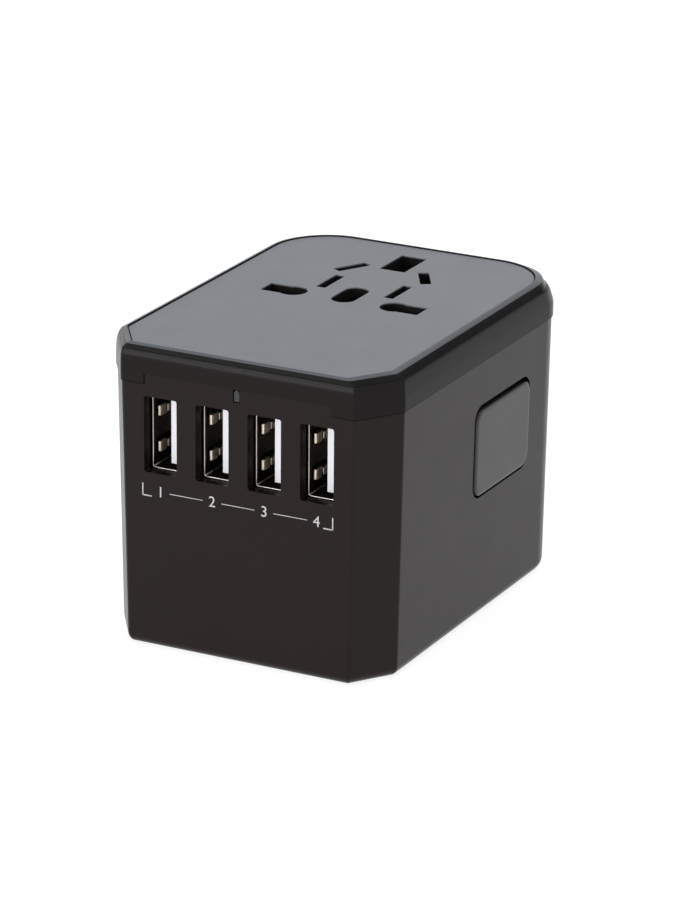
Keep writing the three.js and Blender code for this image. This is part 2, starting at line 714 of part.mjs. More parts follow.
const adapter = new THREE.Group();

function add(name, geometry, finish, x = 0, y = 0, z = 0) {
  const mesh = new THREE.Mesh(geometry, new THREE.MeshStandardMaterial(finish));
  mesh.name = name;
  mesh.position.set(x, y, z);
  adapter.add(mesh);
}

function addCasing() {
  add('main_housing', mainHousing(), DARK_PLASTIC);
  add('top_cover', topCover(), DARK_PLASTIC);
  add('socket_panel', socketPanel(), PANEL_PLASTIC);
  add('base_plate', basePlate(), DARK_PLASTIC);
  SCREWS.forEach(([x, y], i) => add(`base_screw_${i + 1}`, baseScrew(), STEEL, x, y));
}

function addPlugs() {
  add('uk_carriage', ukCarriage(), INNER_PLASTIC);
  add('uk_line_pin', ukPowerPin(), BRASS, UK.x, UK.y);
  add('uk_neutral_pin', ukPowerPin(), BRASS, -UK.x, UK.y);
  add('uk_earth_pin', ukEarthPin(), BRASS, 0, UK.earthY);
  add('eu_carriage', euCarriage(), INNER_PLASTIC);
  add('eu_line_pin', euPin(), NICKEL, EU.x, EU.y);
  add('eu_neutral_pin', euPin(), NICKEL, -EU.x, EU.y);
  add('us_carriage', usCarriage(), INNER_PLASTIC);
  add('us_line_blade', usBlade(), BRASS, US.x, US.y);
  add('us_neutral_blade', usBlade(), BRASS, -US.x, US.y);
  ['uk', 'eu', 'us'].forEach((owner, i) => {
    const { y, z } = knobPlaces[i];
    add(`${owner}_slider_knob`, sliderKnob(), BUTTON_PLASTIC, 0, y, z);
  });
  POSTS.forEach(([x, y], i) => add(`guide_post_${i + 1}`, guidePost(), STEEL, x, y));
}

function addSocket() {
  add('inner_frame', innerFrame(), INNER_PLASTIC);
  add('line_contact', poleContact(1), BRASS);
  add('neutral_contact', poleContact(-1), BRASS);
  add('earth_contact', earthContact(), BRASS);
  add('safety_shutter', safetyShutter(), SHUTTER_PLASTIC);
  add('shutter_spring', shutterSpring(), STEEL);
}

function addButton() {
  add('release_button', releaseButton(), BUTTON_PLASTIC);
  add('latch_bar', latchBar(), INNER_PLASTIC);
  add('button_spring', buttonSpring(), STEEL);
}

function addElectronics() {
  usbCentres.forEach((x, i) => {
    add(`usb_shell_${i + 1}`, usbShell(), STEEL, x);
    add(`usb_tongue_${i + 1}`, usbTongue(), WHITE_PLASTIC, x);
  });
  add('usb_board', circuitBoard(USB_BOARD), BOARD_GREEN);
  add('power_board', circuitBoard(POWER_BOARD), BOARD_GREEN);
  add('transformer', transformer(), FERRITE, -10, -17.5);
  add('input_capacitor', capacitor(4.5, 17), SLEEVE, 4, -18.2);
  add('output_capacitor', capacitor(4, 13), SLEEVE, 13.6, -20.6);
  add('fuse', fuse(), CERAMIC, 9.5, -12.2, BOARD_TOP + 2.4);
  add('light_pipe', lightPipe(), CLEAR);
  add('status_led', statusLed(), WHITE_PLASTIC);
}

addCasing();
addPlugs();
addSocket();
addButton();
addElectronics();

export default adapter;
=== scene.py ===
import json
import math

import bmesh
import bpy
from mathutils import Matrix, Vector


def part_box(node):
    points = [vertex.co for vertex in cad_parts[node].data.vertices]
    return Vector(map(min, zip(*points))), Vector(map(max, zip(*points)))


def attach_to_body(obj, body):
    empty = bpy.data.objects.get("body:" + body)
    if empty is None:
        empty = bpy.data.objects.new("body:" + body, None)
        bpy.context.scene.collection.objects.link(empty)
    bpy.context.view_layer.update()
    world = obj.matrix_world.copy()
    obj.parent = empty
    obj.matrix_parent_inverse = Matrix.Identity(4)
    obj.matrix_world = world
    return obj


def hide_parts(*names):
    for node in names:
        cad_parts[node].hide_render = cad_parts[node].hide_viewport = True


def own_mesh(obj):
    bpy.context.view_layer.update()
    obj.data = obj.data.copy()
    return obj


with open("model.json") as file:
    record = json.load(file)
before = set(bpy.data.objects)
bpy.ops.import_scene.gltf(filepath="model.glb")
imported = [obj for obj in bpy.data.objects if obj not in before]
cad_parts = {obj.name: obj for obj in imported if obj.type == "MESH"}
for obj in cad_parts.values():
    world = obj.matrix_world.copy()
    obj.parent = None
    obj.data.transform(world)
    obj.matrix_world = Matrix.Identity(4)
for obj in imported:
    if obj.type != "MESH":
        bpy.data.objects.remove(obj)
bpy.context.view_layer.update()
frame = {"nodes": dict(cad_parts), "record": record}

# Shapes are drawn in millimetres in the CAD frame and scaled to metres when a mesh is made.
MM = 0.001


# ---------------------------------------------------------------- camera, floor and light

VIEW = {"yaw": 27.238, "pitch": 19.712, "roll": 0.405}
VIEW_AIM = Vector((0.01613, -0.03136, 0.03721))
VIEW_DISTANCE = 0.740
VIEW_LENS = 181.83
WALL_LIGHT = 1.02
CEILING_LIGHT = 0.4
DIM_CORNER = (0.42, 0.84, 0.34)
DIM_SHARE = 0.12


def make_camera():
    yaw, pitch, roll = (math.radians(VIEW[key]) for key in ("yaw", "pitch", "roll"))
    back = Vector((math.sin(yaw) * math.cos(pitch), -math.cos(yaw) * math.cos(pitch), math.sin(pitch)))
    level = Vector((math.cos(yaw), math.sin(yaw), 0))
    upright = back.cross(level)
    right = level * math.cos(roll) + upright * math.sin(roll)
    up = upright * math.cos(roll) - level * math.sin(roll)
    data = bpy.data.cameras.new("camera")
    data.lens = VIEW_LENS
    data.clip_start = 0.01
    camera = bpy.data.objects.new("camera", data)
    bpy.context.scene.collection.objects.link(camera)
    turn = Matrix((right, up, back)).transposed().to_4x4()
    camera.matrix_world = Matrix.Translation(VIEW_AIM + back * VIEW_DISTANCE) @ turn
    bpy.context.scene.camera = camera


def area_light(name, place, aim, size, power):
    data = bpy.data.lights.new(name, "AREA")
    data.shape = "RECTANGLE"
    data.size, data.size_y = size
    data.energy = power
    light = bpy.data.objects.new(name, data)
    bpy.context.scene.collection.objects.link(light)
    light.location = place
    light.rotation_euler = (Vector(aim) - Vector(place)).to_track_quat("-Z", "Y").to_euler()


def eased(nodes, links, value, window, ends):
    """A smooth step from one end to the other as value crosses the window."""
    ramp = nodes.new("ShaderNodeMapRange")
    ramp.interpolation_type = "SMOOTHSTEP"
    ramp.inputs["From Min"].default_value, ramp.inputs["From Max"].default_value = window
    ramp.inputs["To Min"].default_value, ramp.inputs["To Max"].default_value = ends
    links.new(value, ramp.inputs["Value"])
    return ramp.outputs["Result"]


def studio_world():
    """A white room: its walls are bright, its ceiling is dimmer and so is one corner behind on the right."""
    world = bpy.data.worlds.new("studio")
    world.use_nodes = True
    nodes, links = world.node_tree.nodes, world.node_tree.links
    coordinate = nodes.new("ShaderNodeTexCoord")
    split = nodes.new("ShaderNodeSeparateXYZ")
    links.new(coordinate.outputs["Generated"], split.inputs["Vector"])
    height = eased(nodes, links, split.outputs["Z"], (0.4, 0.75), (WALL_LIGHT, CEILING_LIGHT))
    nearness = nodes.new("ShaderNodeVectorMath")
    nearness.operation = "DOT_PRODUCT"
    nearness.inputs[1].default_value = Vector(DIM_CORNER).normalized()
    links.new(coordinate.outputs["Generated"], nearness.inputs[0])
    corner = eased(nodes, links, nearness.outputs["Value"], (0.9, 0.965), (1, DIM_SHARE))
    product = nodes.new("ShaderNodeMath")
    product.operation = "MULTIPLY"
    links.new(height, product.inputs[0])
    links.new(corner, product.inputs[1])
    links.new(product.outputs["Value"], nodes["Background"].inputs["Strength"])
    nodes["Background"].inputs["Color"].default_value = (0.98, 0.99, 1, 1)
    bpy.context.scene.world = world


def make_studio():
    studio_world()
    bpy.context.scene.view_settings.view_transform = "Standard"
    area_light("top_light", (0.15, 0.35, 1.1), (0, 0, 0.03), (1.4, 1.4), 8)
    area_light("front_light", (-0.6, -1.15, 0.36), (0, 0, 0.045), (1.1, 0.22), 9)
    bm = bmesh.new()
    bmesh.ops.create_grid(bm, x_segments=1, y_segments=1, size=6)
    mesh = bpy.data.meshes.new("floor")
    bm.to_mesh(mesh)
    bm.free()
    floor = bpy.data.objects.new("floor", mesh)
    bpy.context.scene.collection.objects.link(floor)
    mesh.materials.append(lit_paper())


# ---------------------------------------------------------------- materials

def node_material(name):
    material = bpy.data.materials.new(name)
    material.use_nodes = True
    nodes = material.node_tree.nodes
    return material, nodes, material.node_tree.links, nodes["Principled BSDF"]


def noise(nodes, links, size, detail=2.0, stretch=(1, 1, 1)):
    """A noise texture whose features are about size metres across, in the row frame."""
    coordinate = nodes.new("ShaderNodeTexCoord")
    mapping = nodes.new("ShaderNodeMapping")
    mapping.inputs["Scale"].default_value = stretch
    texture = nodes.new("ShaderNodeTexNoise")
    texture.inputs["Scale"].default_value = 1 / size
    texture.inputs["Detail"].default_value = detail
    links.new(coordinate.outputs["Object"], mapping.inputs["Vector"])
    links.new(mapping.outputs["Vector"], texture.inputs["Vector"])
    return texture.outputs["Fac"]


def between(nodes, links, factor, low, high, window=(0.3, 0.7)):
    """A value from low to high as factor crosses the window."""
    ranged = nodes.new("ShaderNodeMapRange")
    ranged.inputs["From Min"].default_value = window[0]
    ranged.inputs["From Max"].default_value = window[1]
    ranged.inputs["To Min"].default_value = low
    ranged.inputs["To Max"].default_value = high
    links.new(factor, ranged.inputs["Value"])
    return ranged.outputs["Result"]


def mixed(nodes, links, factor, first, second):
    """A colour from first to second, either of which may be another node's output."""
    mix = nodes.new("ShaderNodeMix")
    mix.data_type = "RGBA"
    links.new(factor, mix.inputs["Factor"])
    for socket, value in ((mix.inputs[6], first), (mix.inputs[7], second)):
        if isinstance(value, tuple):
            socket.default_value = (*value, 1)
        else:
            links.new(value, socket)
    return mix.outputs[2]


def bumped(nodes, links, shader, height, distance):
    bump = nodes.new("ShaderNodeBump")
    bump.inputs["Strength"].default_value = 1
    bump.inputs["Distance"].default_value = distance
    links.new(height, bump.inputs["Height"])
    links.new(bump.outputs["Normal"], shader.inputs["Normal"])


SMEARS = 0.02            # how far handling marks shift the roughness of plastic


def plastic(name, colour, roughness, grain=0.00022, depth=0.00002, mottle=0.12, level=0.5, ior=1.5):
    """Moulded plastic: a spark-eroded grain, faint mottling and handling marks in its gloss."""
    material, nodes, links, shader = node_material(name)
    shader.inputs["Specular IOR Level"].default_value = level
    shader.inputs["IOR"].default_value = ior
    broad = noise(nodes, links, 0.011, 3)
    smear = noise(nodes, links, 0.006, 4)
    fine = noise(nodes, links, grain, 3)
    dark = tuple(c * (1 - mottle) for c in colour)
    light = tuple(c * (1 + mottle) for c in colour)
    speck = between(nodes, links, fine, 0, 1, (0.35, 0.65))
    cloud = between(nodes, links, broad, 0, 1)
    base = mixed(nodes, links, cloud, mixed_pair(dark, colour), mixed_pair(colour, light))
    grained = mixed(nodes, links, speck, base, light)
    links.new(grained, shader.inputs["Base Color"])
    rough = between(nodes, links, smear, roughness - SMEARS, roughness + SMEARS)
    links.new(rough, shader.inputs["Roughness"])
    bumped(nodes, links, shader, fine, depth)
    return material


def mixed_pair(first, second):
    return tuple((a + b) / 2 for a, b in zip(first, second))


def polished(name, colour, roughness, level=0.5):
    """Polished plastic with hairline scuffs."""
    material, nodes, links, shader = node_material(name)
    shader.inputs["Specular IOR Level"].default_value = level
    hairs = noise(nodes, links, 0.0012, 5, (1, 1, 9))
    cloud = noise(nodes, links, 0.006, 2)
    light = tuple(c * 1.25 for c in colour)
    base = mixed(nodes, links, between(nodes, links, cloud, 0, 1), colour, light)
    links.new(base, shader.inputs["Base Color"])
    links.new(between(nodes, links, hairs, roughness, roughness + 0.12), shader.inputs["Roughness"])
    bumped(nodes, links, shader, hairs, 0.000004)
    return material


def metal(name, colour, roughness, stretch=(1, 12, 1)):
    """Plated or rolled metal: drawn lines, stains and a little unevenness."""
    material, nodes, links, shader = node_material(name)
    shader.inputs["Metallic"].default_value = 1
    lines = noise(nodes, links, 0.0006, 4, stretch)
    stain = noise(nodes, links, 0.003, 3)
    dull = tuple(c * 0.78 for c in colour)
    base = mixed(nodes, links, between(nodes, links, stain, 0, 1), dull, colour)
    links.new(base, shader.inputs["Base Color"])
    links.new(between(nodes, links, lines, roughness, roughness + 0.18), shader.inputs["Roughness"])
    bumped(nodes, links, shader, lines, 0.000006)
    return material


def frosted(name, colour):
    """Clear plastic with a frosted surface."""
    material, nodes, links, shader = node_material(name)
    shader.inputs["Transmission Weight"].default_value = 0.55
    cloud = noise(nodes, links, 0.0008, 3)
    light = tuple(min(1, c * 1.2) for c in colour)
    base = mixed(nodes, links, between(nodes, links, cloud, 0, 1), colour, light)
    links.new(base, shader.inputs["Base Color"])
    links.new(between(nodes, links, cloud, 0.25, 0.4), shader.inputs["Roughness"])
    bumped(nodes, links, shader, cloud, 0.00001)
    return material


def board_mask(name):
    """Green solder mask over copper tracks."""
    material, nodes, links, shader = node_material(name)
    tracks = nodes.new("ShaderNodeTexBrick")
    tracks.inputs["Scale"].default_value = 350
    coordinate = nodes.new("ShaderNodeTexCoord")
    links.new(coordinate.outputs["Object"], tracks.inputs["Vector"])
    colour = mixed(nodes, links, tracks.outputs["Fac"], (0.012, 0.11, 0.05), (0.04, 0.22, 0.1))
    links.new(colour, shader.inputs["Base Color"])
    stain = noise(nodes, links, 0.002, 2)
    links.new(between(nodes, links, stain, 0.25, 0.45), shader.inputs["Roughness"])
    bumped(nodes, links, shader, tracks.outputs["Fac"], 0.00003)
    return material


def lit_paper():
    """White paper on a light table: it glows evenly, so that shadows on it stay faint."""
    material, nodes, links, shader = node_material("backdrop_paper")
    cloud = noise(nodes, links, 0.05, 2)
    colour = mixed(nodes, links, between(nodes, links, cloud, 0, 1), (0.31, 0.31, 0.31), (0.33, 0.33, 0.33))
    links.new(colour, shader.inputs["Base Color"])
    shader.inputs["Roughness"].default_value = 0.9
    shader.inputs["Specular IOR Level"].default_value = 0
    shader.inputs["Emission Color"].default_value = (1, 1, 1, 1)
    shader.inputs["Emission Strength"].default_value = 0.82
    return material


MATERIALS = {
    "casing": plastic("casing_plastic", (0.0068, 0.0036, 0.0028), 0.3, level=0.18),
    "panel": plastic("panel_plastic", (0.118, 0.126, 0.143), 0.4, grain=0.0003, depth=0.00003, mottle=0.06),
    "button": plastic("button_plastic", (0.0165, 0.014, 0.0145), 0.34, grain=0.0002, depth=0.000012,
                      level=0.42),
    "inner_plastic": plastic("inner_plastic", (0.02, 0.02, 0.022), 0.5),
    "shutter": plastic("shutter_plastic", (0.012, 0.011, 0.012), 0.4),
    "white_plastic": plastic("white_plastic", (0.78, 0.775, 0.83), 0.4, mottle=0.02, depth=0.000006),
    "clear_plastic": frosted("clear_plastic", (0.35, 0.37, 0.4)),
    "capacitor_sleeve": polished("capacitor_sleeve", (0.01, 0.02, 0.06), 0.25),
    "circuit_board": board_mask("circuit_board"),
    "ferrite": plastic("ferrite_core", (0.03, 0.03, 0.035), 0.6, grain=0.0004),
    "ceramic": polished("ceramic_body", (0.65, 0.6, 0.5), 0.3),
    "steel": metal("plated_steel", (0.72, 0.68, 0.62), 0.22),
    "brass": metal("brass", (0.78, 0.6, 0.28), 0.24, (1, 1, 0.1)),
    "nickel": metal("nickel_plate", (0.74, 0.73, 0.71), 0.16, (1, 1, 0.1)),
}
COVER_PLASTIC = plastic("cover_plastic", (0.0118, 0.0100, 0.0098), 0.26, ior=1.15)
# The rim's top face is painted pale: a painted highlight for the light its rounded face catches.
RIM_PAINTED_HIGHLIGHT = plastic("rim_plastic_painted_highlight", (0.08, 0.085, 0.094), 0.34, ior=1.3)
# The band under the rim is smooth dark plastic with little sheen, painted darker than the cover as painted
# shade from the groove under the rim.
POLISHED_BAND_PAINTED_SHADE = polished("polished_band_painted_shade", (0.0085, 0.008, 0.0085), 0.14, 0.1)
SPRING_METAL = metal("spring_bronze", (0.82, 0.72, 0.6), 0.3)
# Painted shade: the dark steel inside the USB sockets and on their spring leaves.
STEEL_PAINTED_SHADE = metal("steel_painted_shade", (0.075, 0.058, 0.05), 0.3)
SMOKED = polished("smoked_window", (0.02, 0.02, 0.021), 0.12)
PRINT = plastic("pad_print", (0.42, 0.42, 0.43), 0.55, grain=0.00012, depth=0.000003, mottle=0.1)


# ---------------------------------------------------------------- mesh tools

def box_mm(node):
    low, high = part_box(node)
    return [v / MM for v in low], [v / MM for v in high]


def new_object(name, bm):
    bmesh.ops.recalc_face_normals(bm, faces=bm.faces)
    bmesh.ops.scale(bm, vec=(MM, MM, MM), verts=bm.verts)
    for face in bm.faces:
        face.smooth = True
    mesh = bpy.data.meshes.new(name)
    bm.to_mesh(mesh)
    bm.free()
    obj = bpy.data.objects.new(name, mesh)
    bpy.context.scene.collection.objects.link(obj)
    return obj


def add_loft(bm, rings, closed=False):
    """Joins rings of equally many points with quads, and caps the two ends unless closed on itself."""
    loops = [[bm.verts.new(point) for point in ring] for ring in rings]
    pairs = list(zip(loops, loops[1:]))
    if closed:
        pairs.append((loops[-1], loops[0]))
    else:
        bm.faces.new(list(reversed(loops[0])))
        bm.faces.new(loops[-1])
    count = len(loops[0])
    for lower, upper in pairs:
        for i in range(count):
            j = (i + 1) % count
            bm.faces.new((lower[i], lower[j], upper[j], upper[i]))


def ring(outline, z):
    return [(x, y, z) for x, y in outline]


def loft_object(name, rings, closed=False):
    bm = bmesh.new()
    add_loft(bm, rings, closed)
    return new_object(name, bm)


def prism(name, outline, z0, z1):
    return loft_object(name, [ring(outline, z0), ring(outline, z1)])


def rounded_outline(corners, inset=0.0):
    """Points round a convex polygon of (x, y, radius, steps) corners, anticlockwise, moved in by inset."""
    points = []
    count = len(corners)
    for i, (x, y, radius, steps) in enumerate(corners):
        here = Vector((x, y))
        back = (Vector(corners[i - 1][:2]) - here).normalized()
        onward = (Vector(corners[(i + 1) % count][:2]) - here).normalized()
        half = back.angle(onward) / 2
        inward = (back + onward).normalized()
        here = here + inward * (inset / math.sin(half))
        radius = max(radius - inset, 0.05)
        centre = here + inward * (radius / math.sin(half))
        arm = here + back * (radius / math.tan(half)) - centre
        for k in range(steps + 1):
            turn = Matrix.Rotation((math.pi - 2 * half) * k / steps, 2)
            points.append(tuple(centre + turn @ arm))
    return points


def box_corners(cx, cy, width, height, radius, steps=8):
    """Corners of a rounded rectangle, for rounded_outline."""
    x, y = width / 2, height / 2
    corners = [(cx - x, cy - y), (cx + x, cy - y), (cx + x, cy + y), (cx - x, cy + y)]
    return [(*corner, radius, steps) for corner in corners]


def rectangle(cx, cy, width, height, radius=0.2, steps=3):
    return rounded_outline(box_corners(cx, cy, width, height, radius, steps))


def turned(outline, angle, centre=(0, 0)):
    spin = Matrix.Rotation(angle, 2)
    middle = Vector(centre)
    return [tuple(middle + spin @ (Vector(point) - middle)) for point in outline]


def across_x(obj):
    """Lays a piece drawn in XY and extruded along Z into YZ, extruded along X."""
    obj.data.transform(Matrix(((0, 0, 1, 0), (1, 0, 0, 0), (0, 1, 0, 0), (0, 0, 0, 1))))
    return obj


def across_y(obj):
    """Lays a piece drawn in XY and extruded along Z into XZ, extruded along Y."""
    obj.data.transform(Matrix(((1, 0, 0, 0), (0, 0, 1, 0), (0, 1, 0, 0), (0, 0, 0, 1))))
    obj.data.flip_normals()
    return obj


def evaluated_mesh(obj):
    bpy.context.view_layer.update()
    graph = bpy.context.evaluated_depsgraph_get()
    return bpy.data.meshes.new_from_object(obj.evaluated_get(graph))


def carve(obj, tools, operation="DIFFERENCE"):
    """Cuts tools out of obj, or joins them to it, and deletes them."""
    for tool in tools:
        modifier = obj.modifiers.new("carve", "BOOLEAN")
        modifier.operation = operation
        modifier.solver = "EXACT"
        modifier.object = tool
    mesh = evaluated_mesh(obj)
    obj.modifiers.clear()
    old = obj.data
    obj.data = mesh
    bpy.data.meshes.remove(old)
    for tool in tools:
        bpy.data.objects.remove(tool)


SHARP_ANGLE = 32          # degrees; edges sharper than this are rounded


def soften(obj, width):
    """Rounds the sharp edges and evens out the shading of the faces between them."""
    if width:
        bevel = obj.modifiers.new("edge_round", "BEVEL")
        bevel.width = width * MM
        bevel.segments = 2
        bevel.limit_method = "ANGLE"
        bevel.angle_limit = math.radians(SHARP_ANGLE)
    for polygon in obj.data.polygons:
        polygon.use_smooth = True
    weighted = obj.modifiers.new("even_shading", "WEIGHTED_NORMAL")
    weighted.keep_sharp = True


def attach(obj, body, slot, *nodes, material=None):
    """Gives a piece a material (its slot's, unless one is given), puts it on its body and hides the CAD
    nodes that it stands for.
    """
    if not obj.data.materials:
        obj.data.materials.append(material or MATERIALS[slot])
    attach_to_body(obj, body)
    if nodes:
        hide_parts(*nodes)


# ---------------------------------------------------------------- the casing's outline

HOUSING_LOW, HOUSING_HIGH = box_mm("main_housing")
COVER_HIGH = box_mm("top_cover")[1]
PANEL_LOW, PANEL_HIGH = box_mm("socket_panel")
PLATE_HIGH = box_mm("base_plate")[1]
TAB_TOP = HOUSING_HIGH[2]
SEAM = 45.5
SEAM_GAP = 0.16
TAB_GAP = 0.025
COVER_FOOT = SEAM + SEAM_GAP
COVER_CEILING = 49.0
WALL = 2.0
DRAFT = 0.018            # sideways, per unit of height below the seam
HALF_WIDTH = HOUSING_HIGH[0]
FRONT, BACK = HOUSING_LOW[1], HOUSING_HIGH[1]
PROUD = COVER_HIGH[0] - HALF_WIDTH
TOP = COVER_HIGH[2]
HOUSING_SIZE = {"half_width": HALF_WIDTH, "front": FRONT, "back": BACK,
                "flat": 21.16, "depth": 7.45, "radius": 9}
CUT_EDGE_RADIUS = 0.9


def casing_outline(size, inset=0.0):
    """An outline with two cut corners in front and two round ones behind."""
    x, y, cut_y = size["half_width"], size["front"], size["front"] + size["depth"]
    corners = [
        (-size["flat"], y, CUT_EDGE_RADIUS, 4),
        (size["flat"], y, CUT_EDGE_RADIUS, 4),
        (x, cut_y, CUT_EDGE_RADIUS, 4),
        (x, size["back"], size["radius"], 18),
        (-x, size["back"], size["radius"], 18),
        (-x, cut_y, CUT_EDGE_RADIUS, 4),
    ]
    return rounded_outline(corners, inset)


def drafted_ring(inset, z):
    """A ring of the housing's outline, drawn in sideways towards the plug face by the mould's draft."""
    shift = DRAFT * (SEAM - z)
    return [(x - math.copysign(shift, x), y, z) for x, y in casing_outline(HOUSING_SIZE, inset)]


# ---------------------------------------------------------------- housing

FOOT_RADIUS = 1.8
RIM_INSET, LEDGE_INSET = 4.0, 5.0
LEDGE_LOW, LEDGE_TOP = 2.7, 4.2
TAB_HALF = 17.0
USB_HOLE = (6.05, 13.0)
USB_CENTRES = []
for port in range(1, 5):
    shell_low, shell_high = box_mm(f"usb_shell_{port}")
    USB_CENTRES.append((shell_low[0] + shell_high[0]) / 2)
USB_Z = (shell_low[2] + shell_high[2]) / 2
SPRING_HEIGHTS = (USB_Z - 3.05, USB_Z + 3.1)
PIPE_LOW, PIPE_HIGH = box_mm("light_pipe")
PIPE_X = (PIPE_LOW[0] + PIPE_HIGH[0]) / 2
BUTTON = {"y": 9.75, "z": 29.6, "length": 20.7, "height": 15.2, "radius": 2.3}
BUTTON_GAP = {"side": 0.5, "under": 0.32, "over": 0.85}
BUTTON_GAP_BACK = 0.05
KNOB_NODES = ("uk_slider_knob", "eu_slider_knob", "us_slider_knob")
KNOB_POCKET = {"margin": 1.1, "low": 2.4, "high": 33.4, "floor": -24.9}
KNOB_SLOT = {"low": 4.7, "rise": 1.5, "width": 3.5}
SLOT_RADIUS = 1.2
OUTSIDE_LEFT = -30       # where the cutting tools of the left side start


def make_housing():
    foot = [math.radians(a) for a in range(0, 91, 15)]
    profile = [(FOOT_RADIUS * (1 - math.sin(a)), FOOT_RADIUS * (1 - math.cos(a))) for a in foot]
    profile += [(0, z) for z in (10, 18, 26, 34, 41, SEAM)]
    profile += [(WALL, SEAM), (WALL, LEDGE_TOP), (LEDGE_INSET, LEDGE_TOP), (LEDGE_INSET, LEDGE_LOW)]
    profile += [(RIM_INSET, LEDGE_LOW), (RIM_INSET, 0)]
    housing = loft_object("housing_shell", [drafted_ring(*level) for level in profile], closed=True)
    tab = prism("tab", rectangle(0, FRONT + WALL / 2, 2 * TAB_HALF, WALL, 0.02, 1), SEAM - 1, TAB_TOP)
    carve(housing, [tab], "UNION")
    carve(housing, housing_cutters())
    soften(housing, 0.16)
    attach(housing, "casing", "casing", "main_housing")


def housing_cutters():
    through = (FRONT - 1, FRONT + WALL + 1.5)
    cutters = [across_y(prism("cut", rectangle(x, USB_Z, *USB_HOLE, 0.35), *through)) for x in USB_CENTRES]
    left, right, sill, head = PIPE_X - 0.6, PIPE_X + 0.6, PIPE_LOW[2] - 0.1, TAB_TOP + 1
    corners = ((left, sill), (right, sill), (right, head), (left, head))
    window = [(*corner, 0.2, 3) for corner in corners]
    cutters.append(across_y(prism("cut", rounded_outline(window), *through)))
    z0 = BUTTON["z"] - BUTTON["height"] / 2 - BUTTON_GAP["under"]
    z1 = BUTTON["z"] + BUTTON["height"] / 2 + BUTTON_GAP["over"]
    y0 = BUTTON["y"] - BUTTON["length"] / 2 - BUTTON_GAP["side"]
    y1 = BUTTON["y"] + BUTTON["length"] / 2 + BUTTON_GAP_BACK
    hole = rectangle((y0 + y1) / 2, (z0 + z1) / 2, y1 - y0, z1 - z0, BUTTON["radius"] + 0.3, 8)
    cutters.append(across_x(prism("cut", hole, 20, 30)))
    first = box_mm(KNOB_NODES[0])[0][1] - KNOB_POCKET["margin"]
    last = box_mm(KNOB_NODES[2])[1][1] + KNOB_POCKET["margin"]
    middle = (KNOB_POCKET["low"] + KNOB_POCKET["high"]) / 2
    pocket = rectangle((first + last) / 2, middle, last - first, 31, SLOT_RADIUS, 6)
    cutters.append(across_x(prism("cut", pocket, OUTSIDE_LEFT, KNOB_POCKET["floor"])))
    for node in KNOB_NODES:
        low, high = box_mm(node)
        y, z = (low[1] + high[1]) / 2, (low[2] + high[2]) / 2
        slot_low, rise = KNOB_SLOT["low"], KNOB_SLOT["rise"]
        slot_size = (KNOB_SLOT["width"], z + rise - slot_low)
        slot = rectangle(y, (slot_low + z + rise) / 2, *slot_size, SLOT_RADIUS, 6)
        cutters.append(across_x(prism("cut", slot, OUTSIDE_LEFT, -22)))
    return cutters


# ---------------------------------------------------------------- cover and panel

PANEL_SIZE = {"half_width": PANEL_HIGH[0], "front": PANEL_LOW[1], "back": PANEL_HIGH[1],
              "flat": 19.5, "depth": 6.5, "radius": 10.2}
PANEL_TOP = TOP - 0.2
PANEL_SEAT = TOP - 0.5
POCKET_GAP = 0.16
COVER_SIZE = {"half_width": HALF_WIDTH + PROUD, "front": FRONT - PROUD, "back": BACK + PROUD,
              "flat": 21.26, "depth": 7.45, "radius": 9}
RIM_SIZE = {"half_width": 25.15, "front": -34.92, "back": 34.35, "flat": 20.2, "depth": 6.9, "radius": 10.2}
NECK_SIZE = {"half_width": 26, "front": -34.78, "back": 34.8, "flat": 21.15, "depth": 7.4, "radius": 11.5}
RIM_EDGE, NECK_LOW, SLOPE_LOW = 52.02, 51.1, 47.8
SKIN_X, SKIN_Y = 20, 31  # faces further out than this belong to the cover's outside
THROUGH_COVER = (48, 53)
THROUGH_PANEL = (50, 53)


def blended_size(first, second, share):
    return {key: first[key] * (1 - share) + second[key] * share for key in first}


def cover_rings():
    """The cover's skin: from the panel's pocket over the rim, down the neck and the slope to the inside."""
    rings = [ring(casing_outline(PANEL_SIZE, -POCKET_GAP), z) for z in (PANEL_SEAT, TOP - 0.05)]
    rings.append(ring(casing_outline(PANEL_SIZE, -POCKET_GAP - 0.05), TOP))
    rings.append(ring(casing_outline(PANEL_SIZE, -POCKET_GAP - 0.16), TOP))
    rings.append(ring(casing_outline(RIM_SIZE), RIM_EDGE))
    notch = ((0, 0.06), (0.1, 0.03), (0.1, -0.03), (0, -0.06))
    rings += [ring(casing_outline(NECK_SIZE, inset), NECK_LOW + rise) for inset, rise in notch]
    swell = (
        (50.8, 0.28, 0.22), (50.4, 0.45, 0.56), (49.95, 0.6, 0.93), (49.2, 0.76, 1),
        (48.4, 0.92, 1), (SLOPE_LOW, 1, 1), (COVER_FOOT, 1, 1),
    )
    for z, share, front_share in swell:
        size = blended_size(NECK_SIZE, COVER_SIZE, share)
        size["front"] = NECK_SIZE["front"] + (COVER_SIZE["front"] - NECK_SIZE["front"]) * front_share
        rings.append(ring(casing_outline(size), z))
    rings += [ring(casing_outline(HOUSING_SIZE, WALL), z) for z in (COVER_FOOT, COVER_CEILING)]
    return rings


def make_cover():
    cover = loft_object("cover_shell", cover_rings())
    notch = rectangle(0, FRONT + 1, 2 * (TAB_HALF + TAB_GAP), 5, 0.02, 1)
    tools = [prism("cut", notch, 40, TAB_TOP + TAB_GAP)]
    tools += [prism("cut", outline, *THROUGH_COVER) for outline in socket_outlines(0.02)]
    carve(cover, tools)
    colour_rim(cover)
    soften(cover, 0.07)
    attach(cover, "casing", "casing", "top_cover")


